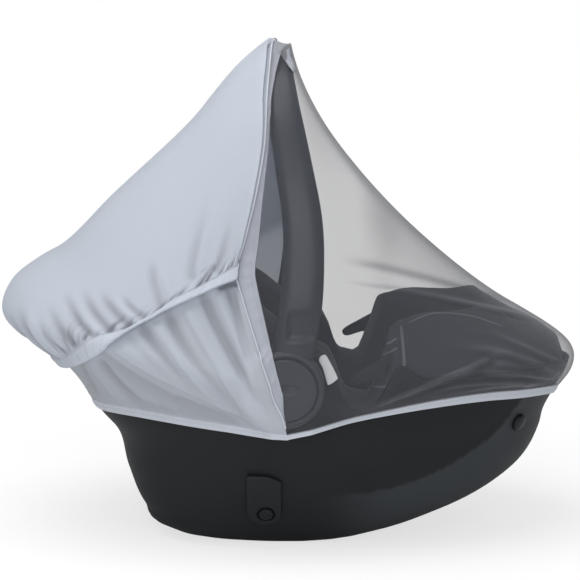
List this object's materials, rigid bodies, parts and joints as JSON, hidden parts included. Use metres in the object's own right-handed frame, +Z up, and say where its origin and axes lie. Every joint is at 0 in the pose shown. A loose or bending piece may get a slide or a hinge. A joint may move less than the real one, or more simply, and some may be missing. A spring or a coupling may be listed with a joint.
{
  "type": "car seat mesh cover on an infant car seat",
  "caption": "Stretch cover over an infant car seat: jersey head panel with turned-back flap, sheer mesh foot panel, elastic hem.",
  "frame": {"origin": "middle of the flat spot under the seat's rocker, on its rest face", "axes": "+Z up, +X towards the foot end, -Y towards the side shown in the picture"},
  "size_m": [0.6667, 0.4536, 0.5696],
  "materials": {
    "jersey": "matte stretch jersey",
    "pale_trim": "matte elastic and piping",
    "sheer_mesh": "sheer fine mesh",
    "black_plastic": "fine-grained",
    "grey_plastic": "satin",
    "dark_fabric": "padded woven",
    "pale_plastic": "plain"
  },
  "bodies": {
    "root": {"shell": "black_plastic", "liner": "dark_fabric", "handle": "grey_plastic", "hub_cap_near": "grey_plastic", "hub_cap_far": "grey_plastic", "belt_hook_near": "black_plastic", "belt_hook_far": "black_plastic", "side_plate": "pale_plastic", "snap_stud_near": "grey_plastic", "snap_stud_far": "grey_plastic", "base_catch_near": "black_plastic", "base_catch_far": "black_plastic", "catch_knob_near": "grey_plastic", "catch_knob_far": "grey_plastic", "rear_panel": "jersey", "sun_flap": "jersey", "mesh_panel": "sheer_mesh", "facing": "pale_trim", "hem_binding": "pale_trim", "piping": "pale_trim"}
  },
  "joints": []
}
